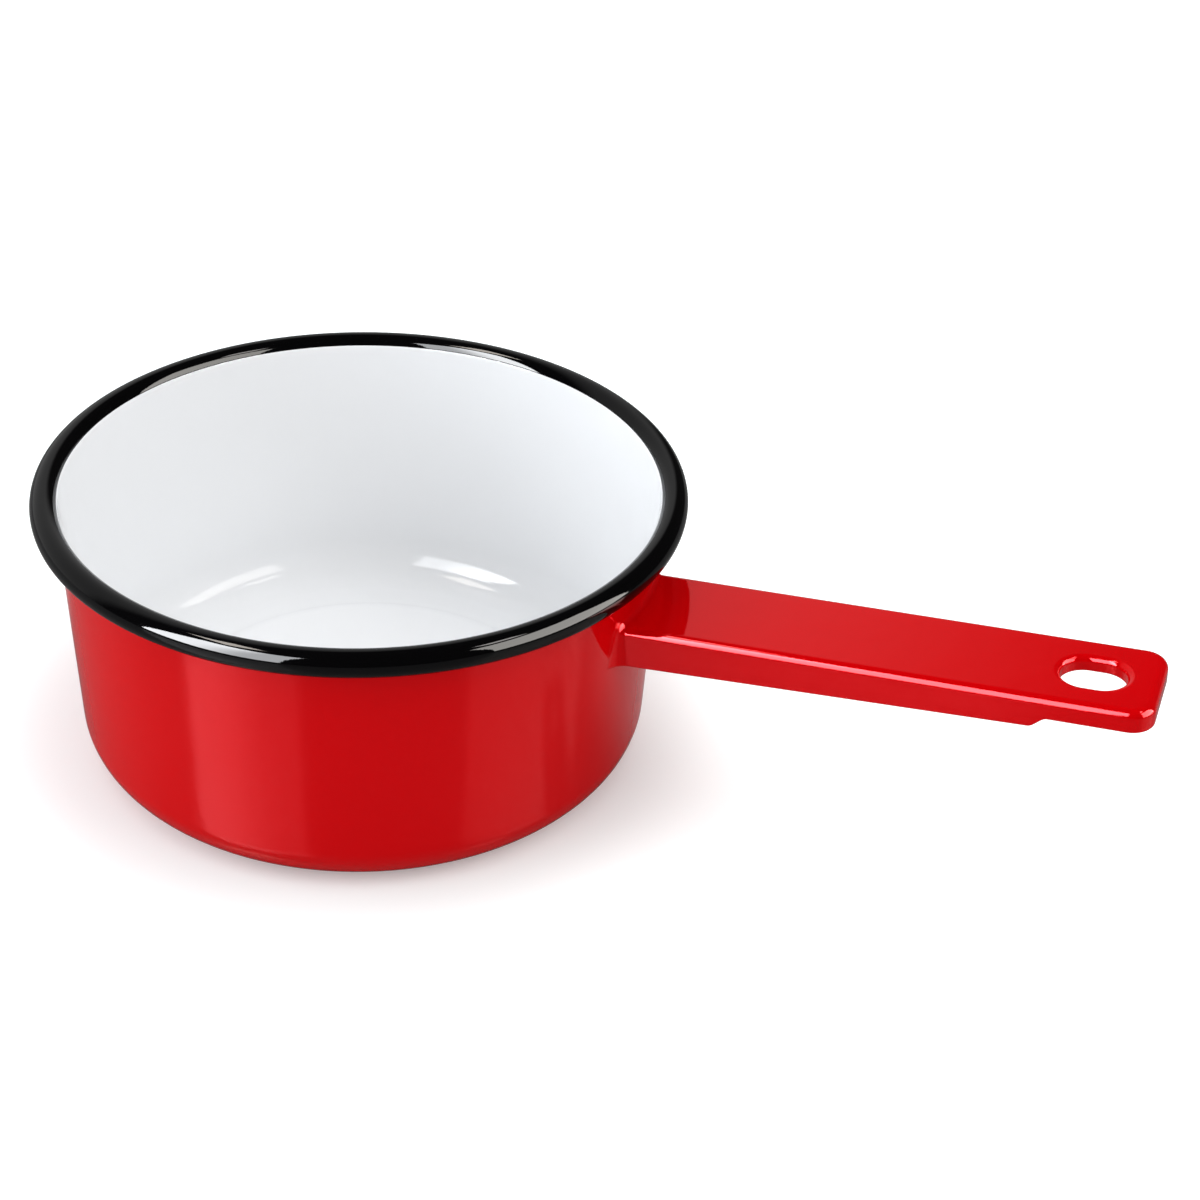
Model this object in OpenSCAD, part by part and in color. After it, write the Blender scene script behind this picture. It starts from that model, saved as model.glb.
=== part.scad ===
// Enamelled steel saucepan: a drawn pan with a rolled rim, and a pressed channel handle welded to its wall.
// The origin is the centre of the base, on the surface the pan stands on, with the handle along +X.

/* [Pan] */
// Diameter over the rolled rim
rim_d = 172; // [140:1:240]
// Height from the table to the top of the rim
pan_h = 78; // [60:1:140]
// Thickness of the rolled rim, enamel included
bead_d = 7.1; // [5.5:0.1:9]
// Lean of the wall, wider at the mouth, in degrees
wall_taper = 2.6; // [0:0.1:5]
// Outside radius between the wall and the base
corner_r = 13; // [8:0.5:20]
// Width of the flat ring that the pan stands on
foot_w = 7; // [4:0.5:12]
// How far the middle of the base is pressed up
foot_h = 0.8; // [0.3:0.1:2]
// Run of the slope between the ring and the middle
foot_run = 3; // [2:0.5:6]

/* [Sheet and enamel] */
// Thickness of the steel of the pan
shell_t = 0.6; // [0.5:0.1:1]
// Thickness of the steel of the handle
handle_t = 1; // [0.8:0.1:1.4]
// Thickness of each coat of enamel
coat_t = 0.2; // [0.15:0.05:0.3]
// Where the white lining meets the black of the rim, in degrees about the middle of the roll
lining_end = 160; // [120:1:165]
// Gap left between the edge of the roll and the wall
curl_gap = 0.3; // [0.2:0.05:0.8]

/* [Handle] */
// Length of the handle from the wall to its tip
handle_len = 132.8; // [100:0.2:200]
// Width of the handle
handle_w = 30.2; // [24:0.2:38]
// Rise of the handle, in degrees
handle_rise = 4.5; // [0:0.5:12]
// Depth of the handle's top face under the top of the rim, at the wall
handle_drop = 19; // [17:0.5:30]
// Bend radius along the edges of the top face
bend_r = 2.2; // [2:0.1:4]
// Corner radius at the tip, seen from above
tip_r = 6; // [5:0.5:10]
// Depth of the sides at the wall
skirt_root = 11.1; // [9:0.1:16]
// Depth of the sides just before the step
skirt_mid = 8.8; // [7:0.1:10]
// Depth of the sides from the step to the tip
skirt_tip = 6; // [5:0.1:7]
// Distance from the tip to the middle of the step
step_from_tip = 27.3; // [24:0.1:40]
// Length of the step in the lower edge
step_len = 4.8; // [3:0.1:6]

/* [Root of the handle] */
// Radius of the flare that turns onto the wall, over the enamel
flare_r = 2.8; // [2:0.1:5]
// Width of the flange that lies on the wall
flange_w = 0.6; // [0.4:0.1:3]
// Width of the weld along the edge of the flange
weld_w = 1; // [0.6:0.1:2]

/* [Hanging hole] */
// Length of the hole
hole_len = 16.4; // [14:0.2:24]
// Width of the hole
hole_w = 12.8; // [9:0.2:14]
// Distance from the tip to the middle of the hole
hole_from_tip = 16.6; // [15:0.2:22]
// Radius of the lip that turns down into the hole
lip_r = 1.6; // [1.6:0.1:2.6]
// Depth of the collar below the top face
collar_h = 4.2; // [3.5:0.1:5]

/* [Hidden] */
$fn = 96;

steel_colour = [0.55, 0.56, 0.58];
red = [0.75, 0.02, 0.04];
white = [0.93, 0.94, 0.96];
black = [0.05, 0.05, 0.055];

overrun = 1;
tuck = 0.02;
// Reach of a cut through the roll, as a share of its radius, and how far past its edge the cut turns
rim_sector_share = 1.1;
edge_turn = 5;
// Places per millimetre that lengths along the handle are kept to, so that shared faces meet exactly
places = 100;
// Thickness of the pan's wall with a coat on each side, and of the handle's
sheet_t = shell_t + 2 * coat_t;
plate_t = handle_t + 2 * coat_t;

// Middle of the rolled rim, in the half section of the pan
bead_r = bead_d / 2;
bead_at = [rim_d / 2 - bead_r, pan_h - bead_r];
// Across the wall, outwards, and up along it
across = [cos(wall_taper), -sin(wall_taper)];
up_wall = [sin(wall_taper), cos(wall_taper)];
// Distance from the middle of the roll to the face that lies depth in from the outside, and where they meet
function roll_r(depth) = bead_r - sheet_t + depth;
function wall_high(depth) = bead_at - roll_r(depth) * across;
// Middle of the corner's arc, and where its face at a depth meets the wall
fall = (wall_high(0)[1] + corner_r * sin(wall_taper) - corner_r) / cos(wall_taper);
corner_at = wall_high(0) - fall * up_wall - corner_r * across;
function wall_low(depth) = corner_at + (corner_r - depth) * across;
// Direction about the middle of the roll in which its edge ends, and the inner edge of the foot
curl_end = acos((bead_r - sheet_t - curl_gap) / bead_r) - 180 - wall_taper;
foot_r = corner_at[0] - foot_w;

// The handle's own axes: x runs along its top face from the pan's axis, z is square to that face
wall_at_drop = wall_high(0)[0] - (wall_high(0)[1] - pan_h + handle_drop) * tan(wall_taper);
handle_up = pan_h - handle_drop - wall_at_drop * tan(handle_rise);
wall_along = round(places * wall_at_drop / cos(handle_rise)) / places;
tip_x = wall_along + handle_len;
// Where the plain channel begins, clear of the flare
root_x = wall_along + plate_t + flare_r;
step_x = tip_x - step_from_tip;
hole_x = tip_x - hole_from_tip;
skirt_low = 2 * skirt_root;
// Height of the coat over the flange, from the steel of the pan
stand = handle_t + coat_t;
// How far out from the channel the flange ends, and the weld
flange_out = flare_r + flange_w;
weld_out = flange_out + weld_w;
// How far round the flare its inside coat goes, and how far out the coat of the wall runs under the flare
inside_turn = 60;
under_flare = flare_r / 2;
// Points round each bend of the flare, along its top, through its curve, and along the step
bend_steps = 6;
top_steps = 8;
flare_steps = 6;
step_points = 10;

// Half section of the pan inside the face that lies depth in from its outside, its top raised by a rise
module cup(depth, rise) {
  turn_r = corner_r - depth;
  over = bead_at[1] + bead_at[0] * tan(wall_taper) + rise;
  polygon([[0, corner_at[1]], corner_at, wall_low(depth), wall_high(depth), [0, over]]);
  translate(corner_at) circle(turn_r);
  polygon([[0, depth + foot_h], [foot_r - foot_run, depth + foot_h], [foot_r, depth],
    [corner_at[0], depth], corner_at, [0, corner_at[1]]]);
}

// Half section of a layer of the wall and base, between two depths
module cup_layer(outer, inner) {
  difference() {
    cup(outer, 0);
    cup(inner, rim_d);
  }
}

// The same layer, carried round the roll to its edge
module rolled_layer(outer, inner) {
  difference() {
    union() {
      cup(outer, 0);
      translate(bead_at) circle(roll_r(inner));
    }
    cup(inner, rim_d);
    translate(bead_at) circle(roll_r(outer));
    polygon([bead_at, bead_at + bead_r * [cos(curl_end), sin(curl_end)], wall_low(outer), wall_high(outer)]);
  }
}

// Sector about the middle of the roll, from one direction up to another
module sector(from, to) {
  reach = rim_sector_share * bead_r;
  steps = 8;
  polygon(concat([bead_at], [for (i = [0 : steps])
    let (a = from + (to - from) * i / steps) bead_at + reach * [cos(a), sin(a)]]));
}

// The steel pan: base, corner, wall and the hollow rolled rim
module pan_shell() {
  color(steel_colour) rotate_extrude() rolled_layer(coat_t, coat_t + shell_t);
}

module lining_enamel() {
  color(white) rotate_extrude() difference() {
    rolled_layer(coat_t + shell_t, sheet_t);
    sector(curl_end - edge_turn, lining_end);
  }
}

module rim_enamel() {
  color(black) rotate_extrude() intersection() {
    difference() {
      translate(bead_at) circle(bead_r);
      translate(bead_at) circle(bead_r - coat_t);
    }
    sector(curl_end, lining_end);
  }
}

// Half section of all that lies farther out than the flat of the base
module beyond_foot() {
  translate([corner_at[0], -overrun]) square([rim_d, pan_h + 2 * overrun]);
}

module body_enamel() {
  color(red) difference() {
    rotate_extrude() intersection() {
      cup_layer(0, coat_t);
      beyond_foot();
    }
    weld_window();
  }
}

module base_enamel() {
  color(red) rotate_extrude() difference() {
    cup_layer(0, coat_t);
    beyond_foot();
  }
}

// The handle's axes set into the pan's
module on_handle() {
  translate([0, 0, handle_up]) rotate([0, -handle_rise, 0]) children();
}

// Lays an outline drawn in y and z along x
module along_x(from, to) {
  translate([from, 0, 0]) rotate([90, 0, 90]) linear_extrude(to - from) children();
}

// Outline across the handle at a depth in from its outside, down to a low edge
module across_handle(depth, low) {
  half = handle_w / 2 - depth;
  r = bend_r - depth;
  translate([-half, -low]) square([2 * half, low - bend_r]);
  translate([-half + r, -low]) square([2 * (half - r), low - depth]);
  for (side = [-1, 1]) translate([side * (half - r), -bend_r]) circle(r);
}

// Outline of the top edge at the tip, out to a reach
module tip_edge(depth, reach) {
  r = bend_r - depth;
  translate([0, -skirt_low]) square([reach - depth, skirt_low - bend_r]);
  translate([0, -skirt_low]) square([reach - depth - r, skirt_low - depth]);
  translate([reach - depth - r, -bend_r]) circle(r);
}

// Solid form of the handle at a depth in from its outside, from the root to the tip
module handle_form(depth, from) {
  side = handle_w / 2 - tip_r;
  along_x(from, tip_x - tip_r) across_handle(depth, skirt_low);
  translate([tip_x - tip_r, side, 0]) rotate([90, 0, 0]) linear_extrude(2 * side) tip_edge(depth, tip_r);
  for (s = [-1, 1]) translate([tip_x - tip_r, s * side, 0]) rotate([0, 0, s < 0 ? -90 : 0])
    rotate_extrude(angle = 90) tip_edge(depth, tip_r);
}

// Everything above the handle's lower edge, with the step in it, raised by a lift
module above_edge(lift) {
  start = step_x - step_len / 2;
  drop = skirt_mid - skirt_tip;
  step = [for (i = [0 : step_points]) [start + step_len * i / step_points,
    lift - skirt_mid + drop * (1 - cos(180 * i / step_points)) / 2]];
  top = bend_r + overrun;
  rotate([90, 0, 0]) linear_extrude(2 * handle_w, center = true)
    polygon(concat([[root_x - overrun, top], [root_x - overrun, lift - skirt_root],
      [root_x, lift - skirt_root]], step, [[tip_x + overrun, lift - skirt_tip], [tip_x + overrun, top]]));
}

// Outline with round ends, as the hanging hole has, at a distance out from the hole
module hole_outline(out) {
  r = hole_w / 2 + out;
  half = (hole_len - hole_w) / 2;
  for (side = [-1, 1]) translate([side * half, 0]) circle(r);
  square([2 * half, 2 * r], center = true);
}

// Section of the lip and collar: x is the distance out from the hole, z is up
module lip_section(outer, inner, low) {
  translate([lip_r, -lip_r]) intersection() {
    difference() {
      circle(lip_r - outer);
      circle(lip_r - inner);
    }
    translate([-lip_r, 0]) square(lip_r);
  }
  translate([outer, -low]) square([inner - outer, low - lip_r]);
}

// The lip swept round the hole
module lip(outer, inner, low) {
  r = hole_w / 2;
  half = (hole_len - hole_w) / 2;
  translate([hole_x, 0, 0]) for (s = [0, 180]) rotate([0, 0, s]) {
    translate([half, 0, 0]) rotate([0, 0, -90]) rotate_extrude(angle = 180)
      translate([r, 0]) lip_section(outer, inner, low);
    translate([half, 0, 0]) rotate([90, 0, -90]) linear_extrude(2 * half)
      translate([r, 0]) lip_section(outer, inner, low);
  }
}

// Channel with its turned-down tip and holed top, between two depths, its edges raised by a lift
module channel(outer, inner, lift) {
  difference() {
    intersection() {
      handle_form(outer, root_x);
      above_edge(lift);
    }
    handle_form(inner, root_x - overrun);
    translate([hole_x, 0, -lip_r]) linear_extrude(lip_r + overrun) hole_outline(lip_r);
  }
  lip(outer, inner, collar_h - lift);
}

// How far out along x the steel of the wall lies, at y and z in the handle's axes
function wall_x(y, z, x = wall_at_drop, tries = 5) =
  let (high = handle_up + x * sin(handle_rise) + z * cos(handle_rise),
    r = wall_high(coat_t)[0] - (wall_high(coat_t)[1] - high) * tan(wall_taper),
    next = (sqrt(r * r - y * y) + z * sin(handle_rise)) / cos(handle_rise))
  tries == 0 ? next : wall_x(y, z, next, tries - 1);

// Stations round the outside of the channel, each with its place and the way out from it
function bend_stations(side) = [for (i = [0 : bend_steps])
  let (a = side < 0 ? 180 - 90 * i / bend_steps : 90 - 90 * i / bend_steps)
  [side * (handle_w / 2 - bend_r) + bend_r * cos(a), bend_r * sin(a) - bend_r, cos(a), sin(a)]];
function stations(lift) = concat(
  [[-handle_w / 2, lift - skirt_root, -1, 0]], bend_stations(-1),
  [for (i = [1 : top_steps - 1]) [(handle_w / 2 - bend_r) * (2 * i / top_steps - 1), 0, 0, 1]],
  bend_stations(1), [[handle_w / 2, lift - skirt_root, 1, 0]]);

// Point at a station, out from the channel by reach and off the pan's steel by off
function wall_point(s, reach, off) =
  let (y = s[0] + reach * s[2], z = s[1] + reach * s[3]) [wall_x(y, z) + off, y, z];

// Path at a station from inside the plain channel through the flare, on the face that lies depth in
function flare_path(s, depth, turn) = concat(
  [[root_x + overrun, s[0] - depth * s[2], s[1] - depth * s[3]]],
  [for (i = [0 : flare_steps]) let (a = turn * i / flare_steps, r = flare_r + depth)
    wall_point(s, flare_r - r * cos(a), stand + flare_r - r * sin(a))]);

// Closed skin between two sets of paths, one pair at each station
module between_paths(outer, inner) {
  m = len(outer[0]);
  n = len(outer);
  k = 2 * m;
  last = (n - 1) * k;
  rings = [for (i = [0 : n - 1]) each concat(outer[i], [for (j = [m - 1 : -1 : 0]) inner[i][j]])];
  sides = [for (i = [0 : n - 2], j = [0 : k - 1]) let (a = i * k + j, b = i * k + (j + 1) % k)
    each [[a, b, b + k], [a, b + k, a + k]]];
  ends = [for (j = [0 : m - 2]) each [
    [j, k - 1 - j, j + 1], [j + 1, k - 1 - j, k - 2 - j],
    [last + j, last + j + 1, last + k - 1 - j], [last + j + 1, last + k - 2 - j, last + k - 1 - j]]];
  polyhedron(rings, concat(sides, ends));
}

// Steel of the flare and its flange
module flare_steel() {
  s = stations(coat_t);
  between_paths(
    [for (p = s) concat(flare_path(p, coat_t + tuck, 90), [wall_point(p, flange_out, handle_t - tuck)])],
    [for (p = s) concat(flare_path(p, stand - tuck, 90), [wall_point(p, flange_out, tuck)])]);
}

// Coat over the flare, the flange and the weld, down to the coat of the wall
module flare_coat() {
  s = stations(0);
  between_paths(
    [for (p = s) concat(flare_path(p, tuck, 90),
      [wall_point(p, flange_out, stand - tuck), wall_point(p, weld_out, coat_t - tuck)])],
    [for (p = s) concat(flare_path(p, coat_t - tuck, 90),
      [wall_point(p, flange_out + tuck, handle_t + tuck), wall_point(p, weld_out, 2 * tuck)])]);
}

// Coat inside the flare
module flare_inside_coat() {
  s = stations(0);
  between_paths([for (p = s) flare_path(p, stand + tuck, inside_turn)],
    [for (p = s) flare_path(p, plate_t - tuck, inside_turn)]);
}

module handle_channel() {
  color(steel_colour) on_handle() {
    channel(coat_t, stand, coat_t);
    flare_steel();
  }
}

module handle_enamel() {
  color(red) on_handle() {
    difference() {
      channel(0, plate_t, 0);
      channel(coat_t, stand, coat_t);
    }
    flare_coat();
    flare_inside_coat();
  }
}

// Outline of the channel at a distance out, down to its lower edge
module weld_outline(out) {
  half = handle_w / 2 + out;
  r = bend_r + out;
  translate([-half, -skirt_root]) square([2 * half, skirt_root - bend_r]);
  translate([r - half, -skirt_root]) square([2 * (half - r), skirt_root + out]);
  for (side = [-1, 1]) translate([side * (half - r), -bend_r]) circle(r);
}

// Opening in the coat of the wall, where the flange is welded to the steel
module weld_window() {
  on_handle() along_x(wall_at_drop / 2, wall_at_drop) difference() {
    weld_outline(weld_out + tuck);
    weld_outline(under_flare);
  }
}

// Weld along the edge of the flange
module handle_weld() {
  s = stations(coat_t);
  color(steel_colour) on_handle() between_paths(
    [for (p = s) [wall_point(p, flange_out + tuck, handle_t - tuck), wall_point(p, weld_out - tuck, 2 * tuck)]],
    [for (p = s) [wall_point(p, flange_out + tuck, tuck), wall_point(p, weld_out - tuck, tuck)]]);
}

pan_shell();
lining_enamel();
body_enamel();
base_enamel();
rim_enamel();
handle_channel();
handle_enamel();
handle_weld();
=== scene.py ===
import math

import bmesh
import bpy
from mathutils import Matrix, Vector


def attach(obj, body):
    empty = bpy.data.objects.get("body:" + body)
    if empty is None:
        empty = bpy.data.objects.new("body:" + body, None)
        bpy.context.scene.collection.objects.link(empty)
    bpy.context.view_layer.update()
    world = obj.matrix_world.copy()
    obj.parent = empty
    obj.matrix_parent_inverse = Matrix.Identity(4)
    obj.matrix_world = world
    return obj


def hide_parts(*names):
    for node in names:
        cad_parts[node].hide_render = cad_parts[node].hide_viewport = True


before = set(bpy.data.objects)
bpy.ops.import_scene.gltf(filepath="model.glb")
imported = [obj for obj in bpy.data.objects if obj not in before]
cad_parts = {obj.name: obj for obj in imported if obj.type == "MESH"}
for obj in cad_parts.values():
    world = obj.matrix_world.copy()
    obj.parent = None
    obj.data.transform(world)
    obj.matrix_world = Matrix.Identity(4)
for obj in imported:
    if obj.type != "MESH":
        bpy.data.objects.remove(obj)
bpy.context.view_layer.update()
mm = 0.001  # sizes below are in millimetres, Blender's are in metres
print("saucepan: frame loaded with", len(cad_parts), "nodes")


# The camera of the photograph, with its place in the pan's own millimetres

camera = {
    "place": (230.989, -489.102, 390.052),
    "forward": (-0.26617, 0.79603, -0.54359),
    "up": (-0.21736, 0.49984, 0.83840),
    "lens": 70.73,
    "sensor": 36,
    "nearest": 0.01,
}


def addCamera(c):
    forward = Vector(c["forward"]).normalized()
    right = forward.cross(Vector(c["up"])).normalized()
    turn = Matrix((right, right.cross(forward), -forward)).transposed().to_4x4()
    data = bpy.data.cameras.new("photoCamera")
    data.lens = c["lens"]
    data.sensor_fit = "HORIZONTAL"
    data.sensor_width = c["sensor"]
    data.clip_start = c["nearest"]
    made = bpy.data.objects.new("photoCamera", data)
    made.matrix_world = Matrix.Translation(Vector(c["place"]) * mm) @ turn
    bpy.context.scene.collection.objects.link(made)
    bpy.context.scene.camera = made


addCamera(camera)


# Material nodes written as sums: a Sock is one socket, and + - * on it add Math nodes

class Sock:
    def __init__(self, finish, socket):
        self.finish = finish
        self.socket = socket

    def sum(self, operation, first, second):
        return self.finish.node("ShaderNodeMath", {"operation": operation}, {0: first, 1: second})

    def __add__(self, other):
        return self.sum("ADD", self, other)

    __radd__ = __add__

    def __mul__(self, other):
        return self.sum("MULTIPLY", self, other)

    __rmul__ = __mul__

    def __sub__(self, other):
        return self.sum("SUBTRACT", self, other)

    def __rsub__(self, other):
        return self.sum("SUBTRACT", other, self)


class Finish:
    def __init__(self, data):
        data.use_nodes = True
        self.data = data
        self.tree = data.node_tree
        self.tree.nodes.clear()

    def node(self, kind, settings, inputs, out=0):
        made = self.tree.nodes.new(kind)
        for key, value in settings.items():
            setattr(made, key, value)
        for key, value in inputs.items():
            if isinstance(value, Sock):
                self.tree.links.new(value.socket, made.inputs[key])
            else:
                made.inputs[key].default_value = value
        return Sock(self, made.outputs[out])

    def noise(self, perMetre, detail):
        place = self.node("ShaderNodeTexCoord", {}, {}, "Object")
        return self.node("ShaderNodeTexNoise", {}, {
            "Vector": place, "Scale": perMetre, "Detail": detail}, "Fac")

    def mixColour(self, share, first, second):
        return self.node("ShaderNodeMix", {"data_type": "RGBA"}, {
            0: share, 6: first, 7: second}, 2)

    def show(self, shader, kind="ShaderNodeOutputMaterial"):
        end = self.tree.nodes.new(kind)
        self.tree.links.new(shader.socket, end.inputs["Surface"])
        return self.data


def rgb(r, g, b):
    return (r, g, b, 1)


# The glazes. Waves and peel are heights in metres: of slow ripples, and of a fine orange peel.

redGlaze = {
    "colour": rgb(0.638, 0.0003, 0.0022), "deep": rgb(0.588, 0.0002, 0.0014),
    "tint": rgb(1, 0.075, 0.085), "specular": 1.0, "ior": 1.8, "rough": 0.05,
    "waves": 0.00004, "peel": 0.000004,
}
whiteGlaze = {
    "colour": rgb(0.872, 0.880, 0.893), "deep": rgb(0.852, 0.860, 0.873),
    "tint": rgb(1, 1, 1), "specular": 0.13, "ior": 1.5, "rough": 0.06,
    "waves": 0.00004, "peel": 0.000004,
}
blackGlaze = {
    "colour": rgb(0.0016, 0.0014, 0.0018), "deep": rgb(0.001, 0.001, 0.001),
    "tint": rgb(1, 1, 1), "specular": 0.24, "ior": 1.5, "rough": 0.04,
    "waves": 0.00003, "peel": 0.000004,
}
dipping = {
    "flowPerMetre": 18, "cloudPerMetre": 95, "peelPerMetre": 1400,
    "flowShare": 0.7, "cloudShare": 0.3, "roughSpread": 0.02,
}


def glaze(name, g):
    f = Finish(bpy.data.materials.new(name))
    flow = f.noise(dipping["flowPerMetre"], 2)  # slow thick and thin places of the dipped coat
    cloud = f.noise(dipping["cloudPerMetre"], 3)
    peel = f.noise(dipping["peelPerMetre"], 2)
    thin = flow * dipping["flowShare"] + cloud * dipping["cloudShare"]
    colour = f.mixColour(thin, g["deep"], g["colour"])
    rough = cloud * dipping["roughSpread"] + (g["rough"] - dipping["roughSpread"] / 2)
    slow = f.node("ShaderNodeBump", {}, {"Strength": 1, "Distance": g["waves"], "Height": cloud})
    fine = f.node("ShaderNodeBump", {}, {
        "Strength": 1, "Distance": g["peel"], "Height": peel, "Normal": slow})
    shader = f.node("ShaderNodeBsdfPrincipled", {}, {
        "Base Color": colour, "Roughness": rough, "IOR": g["ior"], "Normal": fine,
        "Specular IOR Level": g["specular"], "Specular Tint": g["tint"]})
    return f.show(shader)


# The pressed sheet under the glaze
sheetSteel = {
    "dark": rgb(0.42, 0.43, 0.45), "light": rgb(0.60, 0.61, 0.63), "streaksPerMetre": 260,
    "rough": 0.3, "roughSpread": 0.2, "streakHeight": 0.00002,
}


def bareSteel(name, s):
    f = Finish(bpy.data.materials.new(name))
    streak = f.noise(s["streaksPerMetre"], 4)
    bump = f.node("ShaderNodeBump", {}, {
        "Strength": 1, "Distance": s["streakHeight"], "Height": streak})
    shader = f.node("ShaderNodeBsdfPrincipled", {}, {
        "Base Color": f.mixColour(streak, s["dark"], s["light"]), "Metallic": 1.0,
        "Roughness": streak * s["roughSpread"] + s["rough"], "Normal": bump})
    return f.show(shader)


redEnamel = glaze("redEnamel", redGlaze)
whiteEnamel = glaze("whiteEnamel", whiteGlaze)
blackEnamel = glaze("blackEnamel", blackGlaze)
steel = bareSteel("steel", sheetSteel)
print("saucepan: glazes mixed")


# Drawing with a moving tip. In a half section x is the distance from the pan's axis and z the
# height.

class Outline:
    def __init__(self, mesh, start):
        self.mesh = mesh
        if isinstance(start, bmesh.types.BMVert):
            self.first = start
        else:
            self.first = bmesh.ops.create_vert(mesh, co=start)["vert"][0]
        self.tip = self.first

    def lineTo(self, end, parts=1):
        start = self.tip.co.copy()
        for i in range(parts):
            self.tip = bmesh.ops.extrude_vert_indiv(self.mesh, verts=[self.tip])["verts"][0]
            self.tip.co = start.lerp(Vector(end), (i + 1) / parts)
        return self.tip

    def arc(self, centre, degrees, steps, axis=(0, -1, 0)):
        made = bmesh.ops.spin(
            self.mesh, geom=[self.tip], cent=centre, axis=axis, dvec=(0, 0, 0),
            angle=math.radians(degrees), steps=steps, use_merge=False, use_duplicate=False)
        self.tip = [v for v in made["geom_last"] if isinstance(v, bmesh.types.BMVert)][0]

    def joinTo(self, vertex):
        self.mesh.edges.new((self.tip, vertex))

    def close(self):
        self.joinTo(self.first)


# Scales a mesh drawn in millimetres and makes it a piece that stands for its nodes of the frame
def finishPiece(name, mesh, material, nodes):
    bmesh.ops.scale(mesh, vec=(mm, mm, mm), verts=mesh.verts)
    data = bpy.data.meshes.new(name)
    mesh.to_mesh(data)
    mesh.free()
    data.shade_smooth()
    data.materials.append(material)
    piece = bpy.data.objects.new(name, data)
    bpy.context.scene.collection.objects.link(piece)
    # large flat faces keep their true direction beside the small faces of a bend
    even = piece.modifiers.new("evenShine", "WEIGHTED_NORMAL")
    even.mode = "FACE_AREA"
    even.weight = 50
    even.keep_sharp = True
    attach(piece, "root")
    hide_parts(*nodes)
    print("saucepan:", name, len(data.polygons), "faces")


sameSpot = 0.0001  # points closer than this, in millimetres, are one point


def turnOnAxis(mesh, steps):
    bmesh.ops.spin(
        mesh, geom=mesh.verts[:] + mesh.edges[:], cent=(0, 0, 0), axis=(0, 0, 1), dvec=(0, 0, 0),
        angle=math.tau, steps=steps, use_merge=True, use_duplicate=False)
    bmesh.ops.remove_doubles(mesh, verts=mesh.verts, dist=sameSpot)
    onAxis = [e for e in mesh.edges if not e.link_faces]  # the section's line on the axis itself
    bmesh.ops.delete(mesh, geom=onAxis, context="EDGES")
    bmesh.ops.recalc_face_normals(mesh, faces=mesh.faces)


# The pan, turned from half sections; degrees on the roll are counted from outside, over the top

pan = {
    "rimWidth": 172, "height": 78, "roll": 7.1, "lean": 2.6, "corner": 13,
    "footWidth": 7, "footRise": 0.8, "footRun": 3,
    "sheet": 0.6, "coat": 0.2, "whiteEnd": 160, "curlGap": 0.3,
    "softCrease": 1.45, "creaseSteps": 6,
    "turnSteps": 256, "wallRows": 12, "cornerSteps": 18, "rollSteps": 40, "innerRollSteps": 8,
    "partsInwards": (3, 2, 8), "partsOutwards": (4, 2, 2),
}

lean = math.radians(pan["lean"])
wallThick = pan["sheet"] + 2 * pan["coat"]
rollR = pan["roll"] / 2
rollAt = Vector((pan["rimWidth"] / 2 - rollR, 0, pan["height"] - rollR))
across = Vector((math.cos(lean), 0, -math.sin(lean)))
upWall = Vector((math.sin(lean), 0, math.cos(lean)))


# Top of the wall's face that lies depth in from the red face, then the middle of the corner
def wallTop(depth):
    return rollAt - (rollR - wallThick + depth) * across


fall = (wallTop(0).z + pan["corner"] * math.sin(lean) - pan["corner"]) / math.cos(lean)
cornerAt = wallTop(0) - fall * upWall - pan["corner"] * across
footIn = cornerAt.x - pan["footWidth"]
curlOpening = math.degrees(math.acos((rollR - wallThick - pan["curlGap"]) / rollR))
curlTurn = curlOpening - 180 - pan["lean"]


def wallFoot(depth):
    return cornerAt + (pan["corner"] - depth) * across


def onRoll(degrees, radius):
    a = math.radians(degrees)
    return rollAt + radius * Vector((math.cos(a), 0, math.sin(a)))


# Lines of the raised base from the foot ring to the axis, or back, at a depth from the red face
def baseLine(line, depth, inwards, soft):
    ring = (footIn, 0, depth)
    slope = (footIn - pan["footRun"], 0, depth + pan["footRise"])
    if inwards:
        places, parts = [ring, slope, (0, 0, slope[2])], pan["partsInwards"]
    else:
        places, parts = [slope, ring, (cornerAt.x, 0, depth)], pan["partsOutwards"]
    made = [line.lineTo(place, count) for place, count in zip(places, parts)]
    soft.extend(made[:2])


def softenCreases(mesh, corners):
    bmesh.ops.bevel(
        mesh, geom=corners, offset=pan["softCrease"], offset_type="OFFSET",
        segments=pan["creaseSteps"], profile=0.5, affect="VERTICES", material=-1)


def makeLining():
    mesh = bmesh.new()
    inside, behind = wallThick, wallThick - pan["coat"]
    line = Outline(mesh, onRoll(pan["whiteEnd"], rollR))
    soft = []
    line.arc(rollAt, 180 - pan["lean"] - pan["whiteEnd"], pan["innerRollSteps"])
    line.lineTo(wallFoot(inside), pan["wallRows"])
    line.arc(cornerAt, pan["lean"] - 90, pan["cornerSteps"])
    baseLine(line, inside, True, soft)
    line.lineTo((0, 0, behind + pan["footRise"]))
    baseLine(line, behind, False, soft)
    line.arc(cornerAt, 90 - pan["lean"], pan["cornerSteps"])
    line.lineTo(wallTop(behind), pan["wallRows"])
    line.arc(rollAt, pan["whiteEnd"] - 180 + pan["lean"], pan["innerRollSteps"])
    line.close()
    softenCreases(mesh, soft)
    turnOnAxis(mesh, pan["turnSteps"])
    finishPiece("whiteLining", mesh, whiteEnamel, ["lining_enamel"])


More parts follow.
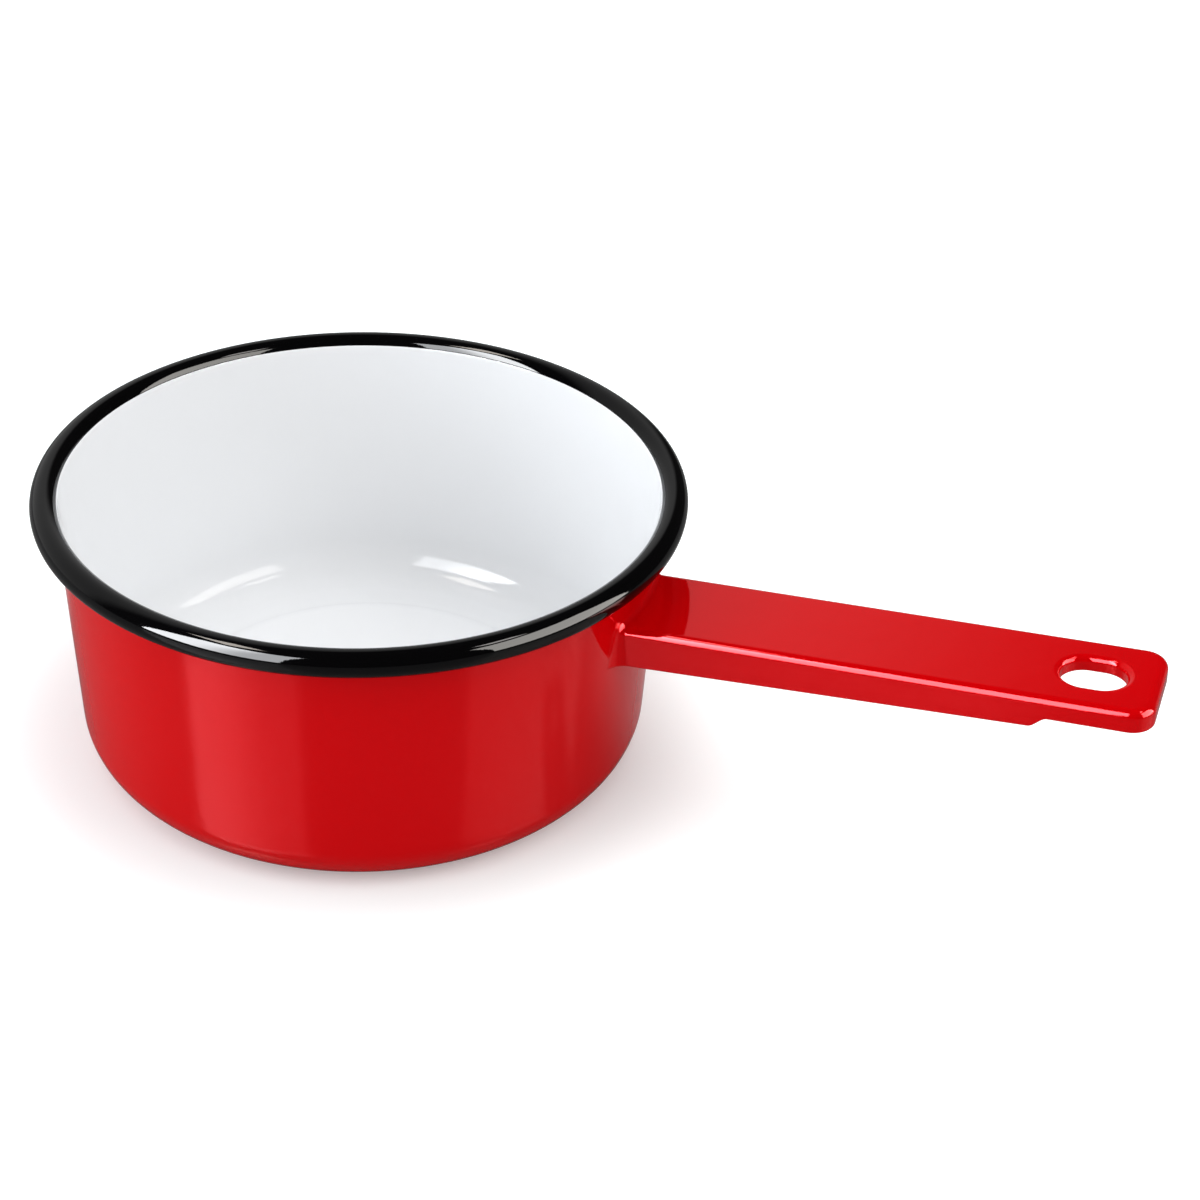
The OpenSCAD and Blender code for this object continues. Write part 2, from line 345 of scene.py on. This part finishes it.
def makeBlackRim():
    mesh = bmesh.new()
    line = Outline(mesh, onRoll(curlTurn, rollR))
    line.arc(rollAt, pan["whiteEnd"] - curlTurn, pan["rollSteps"] * 2)
    line.lineTo(onRoll(pan["whiteEnd"], rollR - pan["coat"]))
    line.arc(rollAt, curlTurn - pan["whiteEnd"], pan["rollSteps"])
    line.close()
    turnOnAxis(mesh, pan["turnSteps"])
    finishPiece("blackRim", mesh, blackEnamel, ["rim_enamel"])


def makeRedBody():
    mesh = bmesh.new()
    coat = pan["coat"]
    line = Outline(mesh, wallTop(0))
    line.lineTo(wallFoot(0), pan["wallRows"])
    line.arc(cornerAt, pan["lean"] - 90, pan["cornerSteps"])
    line.lineTo((cornerAt.x, 0, coat))
    line.arc(cornerAt, 90 - pan["lean"], pan["cornerSteps"])
    line.lineTo(wallTop(coat), pan["wallRows"])
    line.close()
    turnOnAxis(mesh, pan["turnSteps"])
    finishPiece("redBody", mesh, redEnamel, ["body_enamel"])


def makeRedBase():
    mesh = bmesh.new()
    coat = pan["coat"]
    line = Outline(mesh, (cornerAt.x, 0, 0))
    soft = []
    baseLine(line, 0, True, soft)
    line.lineTo((0, 0, coat + pan["footRise"]))
    baseLine(line, coat, False, soft)
    line.close()
    softenCreases(mesh, soft)
    turnOnAxis(mesh, pan["turnSteps"])
    finishPiece("redBase", mesh, redEnamel, ["base_enamel"])


makeLining()
makeBlackRim()
makeRedBody()
makeRedBase()


# The handle: x runs along its top face from the pan's axis, z is square to that face

handle = {
    "length": 132.8, "width": 30.2, "rise": 4.5, "drop": 19,
    "plate": 1.4, "bend": 2.2, "tipRound": 6,
    "depthAtWall": 11.1, "depthBeforeStep": 8.8, "depthAtTip": 6.0,
    "stepFromTip": 27.3, "stepLength": 4.8, "beforeStep": 1,
    "holeLength": 16.4, "holeWidth": 12.8, "holeFromTip": 16.6, "lip": 1.6, "collar": 4.2,
    "flareTop": 1.9, "flareLow": 3.9, "rootGap": 4.6,
    "tuck": 0.03, "tuckRun": 0.6, "closeGap": 0.01,
    "bendSteps": 12, "sideRows": 8, "edgeSteps": 8,
    "flareSteps": 16, "tipSteps": 14, "holeSteps": 36,
    "sideParts": 16, "stepParts": 14, "endParts": 6,
    "tipParts": 8, "holeParts": 6, "acrossParts": 16, "wallTries": 6,
}

rise = math.radians(handle["rise"])
wallAtDrop = wallTop(0).x - (wallTop(0).z - pan["height"] + handle["drop"]) * math.tan(lean)
handleUp = pan["height"] - handle["drop"] - wallAtDrop * math.tan(rise)
wallAlong = wallAtDrop / math.cos(rise)
tipX = wallAlong + handle["length"]
rootX = wallAlong + handle["rootGap"]
stepX = tipX - handle["stepFromTip"]
holeX = tipX - handle["holeFromTip"]
sideY = handle["width"] / 2 - handle["tipRound"]
edgeR = handle["plate"] / 2


# How much of a run is behind x, from 0 to 1
def partWay(x, start, run):
    return min(max((x - start) / run, 0), 1)


# Depth of the sides below the top face, with the step near the tip
def sideDepth(x):
    start = stepX - handle["stepLength"] / 2
    slope = partWay(x, rootX, start - rootX)
    before = handle["depthAtWall"] + (handle["depthBeforeStep"] - handle["depthAtWall"]) * slope
    drop = handle["depthBeforeStep"] - handle["depthAtTip"]
    return before - drop * (1 - math.cos(math.pi * partWay(x, start, handle["stepLength"]))) / 2


# Rings of the plate's section over an edge, down its side, round the lower edge and back up
# inside. Each is (distance out from the core line, height, tilt of the outside face, depth in
# from it). side is 1 where the plate turns down away from the core line, and -1 where it turns
# down towards it.
def plateRings(face, bend, deep, side):
    thick, rows = handle["plate"], handle["sideRows"]
    low = deep - edgeR
    upright = math.pi / 2
    rings = []
    for i in range(handle["bendSteps"] + 1):
        a = upright * i / handle["bendSteps"]
        rings.append((face - side * bend * (1 - math.sin(a)), -bend * (1 - math.cos(a)), a, 0))
    for i in range(1, rows + 1):
        rings.append((face, -bend - (low - bend) * i / rows, upright, 0))
    for i in range(1, handle["edgeSteps"] + 1):
        b = math.pi * i / handle["edgeSteps"]
        into = edgeR * (1 - math.cos(b))
        rings.append((face - side * into, -low - edgeR * math.sin(b), upright, into))
    for i in range(1, rows + 1):
        rings.append((face - side * thick, -low + (low - bend) * i / rows, upright, thick))
    small = bend - thick
    for i in range(1, handle["bendSteps"] + 1):
        a = upright * (1 - i / handle["bendSteps"])
        out = face - side * (bend - small * math.sin(a))
        rings.append((out, -bend + small * math.cos(a), a, thick))
    return rings


# How far along x the wall's red face lies, at y and z in the handle's axes
def wallX(y, z):
    x = wallAtDrop
    for i in range(handle["wallTries"]):  # each try comes closer, because the wall leans
        high = handleUp + x * math.sin(rise) + z * math.cos(rise)
        radius = wallTop(0).x - (wallTop(0).z - high) * math.tan(lean)
        x = (math.sqrt(radius * radius - y * y) + z * math.sin(rise)) / math.cos(rise)
    return x


# Radius of the flare onto the wall, which grows from the top face down to the sides' lower edge
def flareAt(z):
    share = partWay(-z, 0, handle["depthAtWall"])
    return handle["flareTop"] + (handle["flareLow"] - handle["flareTop"]) * share


# Extrudes a chain of edges once, and gives the new chain and its vertices
def extrudeChain(mesh, chain):
    made = bmesh.ops.extrude_edge_only(mesh, edges=chain)["geom"]
    verts = [g for g in made if isinstance(g, bmesh.types.BMVert)]
    known = set(verts)
    edges = [g for g in made if isinstance(g, bmesh.types.BMEdge) and known.issuperset(g.verts)]
    return edges, verts


# Outward direction of the section's face that tilts so far from level, on the side that sign gives
def facing(tilt, sign):
    return Vector((0, math.sin(tilt) * sign, math.cos(tilt)))


def makeHandle():
    mesh = bmesh.new()
    core = mesh.verts.layers.float_vector.new("core")
    away = mesh.verts.layers.float_vector.new("away")
    section = mesh.verts.layers.float_vector.new("section")
    flatOut = handle["tipRound"] - handle["bend"]
    y = sideY + flatOut
    middle = tipX - handle["tipRound"]
    stepStart = stepX - handle["stepLength"] / 2
    stepEnd = stepStart + handle["stepLength"]
    nearStep = stepStart - handle["beforeStep"]
    level = (0, 0, 1)

    # edge of the flat top: along the near side, round the tip and back along the far side
    line = Outline(mesh, (rootX, -y, 0))
    line.lineTo((nearStep, -y, 0), handle["sideParts"])
    line.lineTo((stepStart, -y, 0))
    line.lineTo((stepEnd, -y, 0), handle["stepParts"])
    line.lineTo((middle, -y, 0), handle["endParts"])
    line.arc((middle, -sideY, 0), 90, handle["tipSteps"], level)
    line.lineTo((middle + flatOut, sideY, 0), handle["tipParts"])
    line.arc((middle, sideY, 0), 90, handle["tipSteps"], level)
    line.lineTo((stepEnd, y, 0), handle["endParts"])
    line.lineTo((stepStart, y, 0), handle["stepParts"])
    line.lineTo((nearStep, y, 0))
    line.lineTo((rootX, y, 0), handle["sideParts"])
    side = mesh.edges[:]
    for v in mesh.verts:
        v[core] = (min(v.co.x, middle), max(-sideY, min(sideY, v.co.y)), 0)
        v[away] = (v.co - v[core]).normalized()
        v[section] = (0, 0, v[away].y)

    # across the root, then the edge of the flat round the hanging hole
    parts = handle["acrossParts"]
    line.lineTo((rootX, -y * (1 - 2 / parts), 0), parts - 1)
    line.close()
    holeR = handle["holeWidth"] / 2
    half = (handle["holeLength"] - handle["holeWidth"]) / 2
    wide = holeR + handle["lip"]
    steps = handle["holeSteps"]
    known = set(mesh.edges)
    ring = Outline(mesh, (holeX - half, -wide, 0))
    ring.lineTo((holeX + half, -wide, 0), handle["holeParts"])
    ring.arc((holeX + half, 0, 0), 180, steps, level)
    ring.lineTo((holeX - half, wide, 0), handle["holeParts"])
    ring.arc((holeX - half, 0, 0), 180 * (steps - 1) / steps, steps - 1, level)
    ring.close()
    lip = [e for e in mesh.edges if e not in known]
    for v in set(v for e in lip for v in e.verts):
        v[core] = (max(holeX - half, min(holeX + half, v.co.x)), 0, 0)
        v[away] = (v.co - v[core]).normalized()
    bmesh.ops.triangle_fill(mesh, edges=mesh.edges[:], use_beauty=True, normal=level)

    # the plate's sides and tip, and the collar of the hole beside them
    for i in range(1, 2 * (handle["bendSteps"] + handle["sideRows"]) + handle["edgeSteps"] + 1):
        side, verts = extrudeChain(mesh, side)
        for v in verts:
            out, z, tilt, depth = plateRings(
                handle["tipRound"], handle["bend"], sideDepth(v[core].x + v[away].x), 1)[i]
            v.co = v[core] + v[away] * out
            v.co.z = z
            v[section] = (tilt, depth, v[away].y)
        lip, verts = extrudeChain(mesh, lip)
        for v in verts:
            out, z, tilt, depth = plateRings(holeR, handle["lip"], handle["collar"], -1)[i]
            v.co = v[core] + v[away] * out
            v.co.z = z

    # the inside face of the top
    lastLine = set(v for e in side for v in e.verts)
    ends = [v for v in lastLine if sum(e in v.link_edges for e in side) == 1]
    ends.sort(key=lambda v: v.co.y)
    known = set(mesh.edges)
    under = Outline(mesh, ends[0])
    under.lineTo(ends[0].co.lerp(ends[1].co, 1 - 1 / parts), parts - 1)
    under.joinTo(ends[1])
    crossing = [e for e in mesh.edges if e not in known]
    for v in set(v for e in crossing for v in e.verts):
        v[section] = (0, handle["plate"], 0)
    bmesh.ops.triangle_fill(mesh, edges=side + crossing + lip, use_beauty=True, normal=(0, 0, -1))

    # the flare: every line of the section turns outwards onto the wall
    chain = [e for e in mesh.edges if len(e.link_faces) == 1]
    for i in range(handle["flareSteps"] + 2):
        chain, verts = extrudeChain(mesh, chain)
        for v in verts:
            tilt, depth, sign = v[section]
            out = facing(tilt, sign)
            if i == 0:
                v[core] = v.co + out * depth
            flare = flareAt(v[core].z)
            turn = math.asin(flare / (flare + depth)) * min(i / handle["flareSteps"], 1)
            reach = flare - (flare + depth) * math.cos(turn)
            off = flare - (flare + depth) * math.sin(turn)
            if i > handle["flareSteps"]:
                reach += handle["tuckRun"]
                off -= handle["tuck"]
            at = v[core] + out * reach
            v.co = (wallX(at.y, at.z) + off, at.y, at.z)

    # its end closes on the wall along the middle of its width, where outer and inner lines meet
    chain, verts = extrudeChain(mesh, chain)
    for v in verts:
        tilt, depth, sign = v[section]
        at = v[core] + facing(tilt, sign) * flareAt(v[core].z) / 2
        v.co = (wallX(at.y, at.z) - handle["tuck"], at.y, at.z)
    bmesh.ops.remove_doubles(mesh, verts=verts, dist=handle["closeGap"])
    bmesh.ops.recalc_face_normals(mesh, faces=mesh.faces)
    place = Matrix.Translation((0, 0, handleUp)) @ Matrix.Rotation(-rise, 4, "Y")
    bmesh.ops.transform(mesh, matrix=place, space=Matrix.Identity(4), verts=mesh.verts)
    finishPiece("redHandle", mesh, redEnamel,
                ["handle_enamel", "handle_channel", "handle_weld"])


makeHandle()

# The steel pan stays inside its coats; the other nodes are hidden, and take the same plain finish
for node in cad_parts.values():
    node.data.materials.clear()
    node.data.materials.append(steel)
print("saucepan: handle made")


# The studio: a white table, a pale room and soft lamps. A lamp's bearing is counted in degrees
# from +X towards +Y, round the pan's axis. Its strength is the brightness that a mirror would
# show.

studio = {
    "floorSize": 4, "floorDrop": 0.00005, "floorColour": rgb(0.74, 0.80, 0.80),
    # the table's colours as the glaze mirrors it: painted shade, and painted light beside the back
    # of the pan
    "paintedShadeColour": rgb(0.2, 0.2, 0.2), "paintedLightColour": rgb(0.5, 0.5, 0.5),
    "besideFrom": -0.01, "besideTo": 0.035, "besideNear": 0.12, "besideFar": 0.2,
    "floorLift": 0.26, "openLift": 0.54, "shadeStart": 0.076, "shadeEnd": 0.118,
    "shadeAt": (-0.0056, -0.002, 0), "floorShine": 0.02, "floorRough": 0.16,
    "room": 0.73, "roomBack": 0.56, "roomFront": 0.03,
    "backBearing": 150, "backRise": 0.1, "backStart": 0.56, "backEnd": 0.74,
}
lamps = {
    "leftWindow": {"bearing": -114, "away": 2.0, "low": 0.22, "high": 3.1, "wide": 1.70,
                   "strength": 45, "fade": 0.45, "colour": (0.95, 0.97, 1.0), "lights": False},
    "leftKey": {"bearing": -150, "away": 1.0, "low": 0.0, "high": 0.8, "wide": 1.1,
                "strength": 3.05, "fade": 1, "colour": (0.92, 0.97, 1.02), "lights": True},
    "rightWindow": {"bearing": 1, "away": 1.5, "low": 0.15, "high": 1.8, "wide": 1.45,
                    "strength": 13.5, "fade": 1, "colour": (1.0, 0.97, 0.92), "lights": False},
    "rightFill": {"bearing": 0, "away": 1.0, "low": 0.5, "high": 1.5, "wide": 0.9,
                  "strength": 1.95, "fade": 1, "colour": (1.0, 0.985, 0.95), "lights": True},
}
trims = {
    "leftTrim": {"place": (-0.507, -0.242, 1.39), "wide": 0.44, "high": 0.22,
                 "strength": 20, "colour": (1.0, 0.92, 0.84)},
    "rightTrim": {"place": (0.75, 0.0, 1.3), "wide": 0.3, "high": 0.16,
                  "strength": 14, "colour": (1.0, 0.96, 0.93)},
}
overhead = {"along": 0.2, "height": 1.3, "wide": 1.6, "strength": 0.72, "colour": (1.0, 1.0, 1.0)}
# The shares of a window's width between which its brightness falls to its fade
fading = {"start": 0.3, "end": 0.75}
# Watts per square metre of lamp for a brightness of 1
lampWatts = math.pi


# The rays that see a surface as the eye does, by a mirror and through glass
def seenRays(f):
    kinds = ["Is Camera Ray", "Is Glossy Ray", "Is Transmission Ray"]
    return [f.node("ShaderNodeLightPath", {}, {}, kind) for kind in kinds]


def makeFloor(s):
    mesh = bmesh.new()
    bmesh.ops.create_grid(mesh, x_segments=1, y_segments=1, size=s["floorSize"])
    bmesh.ops.translate(mesh, vec=(0, 0, -s["floorDrop"]), verts=mesh.verts)
    data = bpy.data.meshes.new("table")
    mesh.to_mesh(data)
    mesh.free()
    f = Finish(bpy.data.materials.new("table"))
    seen, mirrored, through = seenRays(f)
    place = f.node("ShaderNodeTexCoord", {}, {}, "Object")
    fromAxis = f.node("ShaderNodeVectorMath", {"operation": "DISTANCE"}, {
        0: place, 1: s["shadeAt"]}, "Value")
    towardsBack = f.node("ShaderNodeSeparateXYZ", {}, {0: place}, "Y")
    # painted shade: the glaze sees the table painted dark, with painted light only beside the back
    # of the pan
    behind = f.node("ShaderNodeMapRange", {"interpolation_type": "SMOOTHSTEP"}, {
        "Value": towardsBack, "From Min": s["besideFrom"], "From Max": s["besideTo"]})
    near = f.node("ShaderNodeMapRange", {"interpolation_type": "SMOOTHSTEP"}, {
        "Value": fromAxis, "From Min": s["besideFar"], "From Max": s["besideNear"]})
    paintedTableInGlaze = f.mixColour(behind * near, s["paintedShadeColour"], s["paintedLightColour"])
    plain = f.node("ShaderNodeBsdfDiffuse", {}, {
        "Color": f.mixColour(mirrored, s["floorColour"], paintedTableInGlaze)})
    # to the eye the table is lifted to white, less so in the shade round the foot
    glow = f.node("ShaderNodeMapRange", {"interpolation_type": "SMOOTHSTEP"}, {
        "Value": fromAxis, "From Min": s["shadeStart"], "From Max": s["shadeEnd"],
        "To Min": s["floorLift"], "To Max": s["openLift"]})
    lift = f.node("ShaderNodeEmission", {}, {
        "Color": rgb(1, 1, 1), "Strength": (seen + through) * glow})
    white = f.node("ShaderNodeAddShader", {}, {0: plain, 1: lift})
    polish = f.node("ShaderNodeBsdfGlossy", {}, {
        "Color": rgb(1, 1, 1), "Roughness": s["floorRough"]})
    # the polished board shows the lamps to the glaze, but stays plain white to the eye
    data.materials.append(f.show(f.node("ShaderNodeMixShader", {}, {
        0: mirrored * s["floorShine"], 1: white, 2: polish})))
    floor = bpy.data.objects.new("table", data)
    bpy.context.scene.collection.objects.link(floor)


def makeRoom(s):
    world = bpy.data.worlds.new("room")
    bpy.context.scene.world = world
    f = Finish(world)
    seen, mirrored, through = seenRays(f)
    turn = math.radians(s["backBearing"])
    heading = f.node("ShaderNodeTexCoord", {}, {}, "Generated")
    towards = f.node("ShaderNodeVectorMath", {"operation": "DOT_PRODUCT"}, {
        0: heading, 1: (math.cos(turn), math.sin(turn), s["backRise"])}, "Value")
    back = f.node("ShaderNodeMapRange", {"interpolation_type": "SMOOTHSTEP"}, {
        "Value": towards, "From Min": s["backStart"], "From Max": s["backEnd"],
        "To Min": s["roomFront"], "To Max": s["roomBack"]})
    plain = 1 - seen - mirrored - through
    strength = plain * s["room"] + seen + through + mirrored * back
    f.show(f.node("ShaderNodeBackground", {}, {"Color": rgb(1, 1, 1), "Strength": strength}),
           "ShaderNodeOutputWorld")


def addLamp(name, place, aim, wide, high, strength, colour, lights, fade=1):
    data = bpy.data.lights.new(name, "AREA")
    data.shape = "RECTANGLE"
    data.size, data.size_y = wide, high
    data.energy = strength * lampWatts * wide * high
    data.color = colour
    lamp = bpy.data.objects.new(name, data)
    lamp.location = place
    lamp.rotation_euler = (Vector(aim) - Vector(place)).to_track_quat("-Z", "Y").to_euler()
    lamp.visible_camera = False
    lamp.visible_diffuse = lights
    lamp.visible_glossy = not lights
    bpy.context.scene.collection.objects.link(lamp)
    if not lights:
        # a window shows in the glaze, but throws no bright patches from the glaze onto the table
        f = Finish(data)
        bounces = f.node("ShaderNodeLightPath", {}, {}, "Diffuse Depth")
        direct = f.node("ShaderNodeMath", {"operation": "LESS_THAN"}, {0: bounces, 1: 0.5})
        spot = f.node("ShaderNodeNewGeometry", {}, {}, "Parametric")
        sideways = f.node("ShaderNodeSeparateXYZ", {}, {0: spot}, "X")
        fall = f.node("ShaderNodeMapRange", {"interpolation_type": "SMOOTHSTEP"}, {
            "Value": sideways, "From Min": fading["start"], "From Max": fading["end"],
            "To Min": 1, "To Max": fade})
        f.show(f.node("ShaderNodeEmission", {}, {"Strength": direct * fall}),
               "ShaderNodeOutputLight")


makeFloor(studio)
makeRoom(studio)
for name, l in lamps.items():
    turn, middle = math.radians(l["bearing"]), (l["low"] + l["high"]) / 2
    place = Vector((l["away"] * math.cos(turn), l["away"] * math.sin(turn), middle))
    addLamp(name, place, (0, 0, middle), l["wide"], l["high"] - l["low"],
            l["strength"], l["colour"], l["lights"], l["fade"])
for name, l in trims.items():
    addLamp(name, l["place"], (0, 0, 0), l["wide"], l["high"], l["strength"], l["colour"], False)
above = Vector((overhead["along"], 0, overhead["height"]))
below = Vector((overhead["along"], 0, 0))
addLamp("overhead", above, below, overhead["wide"], overhead["wide"],
        overhead["strength"], overhead["colour"], True)
bpy.context.scene.view_settings.view_transform = "Standard"
print("saucepan: studio ready")
